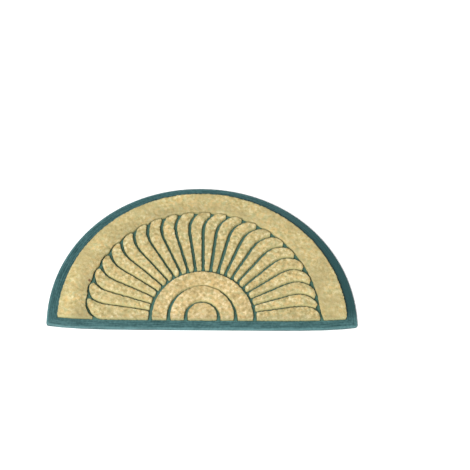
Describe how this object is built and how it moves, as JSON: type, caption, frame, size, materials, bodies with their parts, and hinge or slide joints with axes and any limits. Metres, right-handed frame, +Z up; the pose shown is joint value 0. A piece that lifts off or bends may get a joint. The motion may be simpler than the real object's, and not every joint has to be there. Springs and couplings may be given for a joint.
{
  "type": "half-round coir doormat",
  "caption": "Half-round doormat: coir pile standing in the cells of a moulded rubber tray, as a scalloped fan of hooked petals around half rings.",
  "frame": {"origin": "under the middle of the mat's length and depth, on the floor that it lies on", "axes": "+X along the straight side to the right, +Y from the straight side towards the top of the arc, +Z up"},
  "size_m": [0.75, 0.3889, 0.018],
  "materials": {
    "rubber": "teal moulded rubber, matt with a slight sheen",
    "coir_band": "straw-coloured coir brush pile, faintly olive",
    "coir_petals": "light straw-coloured coir brush pile",
    "coir_rings": "light straw-coloured coir brush pile"
  },
  "bodies": {
    "root": {"rubber_tray": "rubber", "coir_band": "coir_band", "coir_petal_01": "coir_petals", "coir_petal_02": "coir_petals", "coir_petal_03": "coir_petals", "coir_petal_04": "coir_petals", "coir_petal_05": "coir_petals", "coir_petal_06": "coir_petals", "coir_petal_07": "coir_petals", "coir_petal_08": "coir_petals", "coir_petal_09": "coir_petals", "coir_petal_10": "coir_petals", "coir_petal_11": "coir_petals", "coir_petal_12": "coir_petals", "coir_petal_13": "coir_petals", "coir_petal_14": "coir_petals", "coir_petal_15": "coir_petals", "coir_petal_16": "coir_petals", "coir_petal_17": "coir_petals", "coir_petal_18": "coir_petals", "coir_petal_19": "coir_petals", "coir_petal_20": "coir_petals", "coir_petal_21": "coir_petals", "coir_petal_22": "coir_petals", "coir_ring_outer": "coir_rings", "coir_ring_inner": "coir_rings", "coir_half_disc": "coir_rings"}
  },
  "joints": []
}
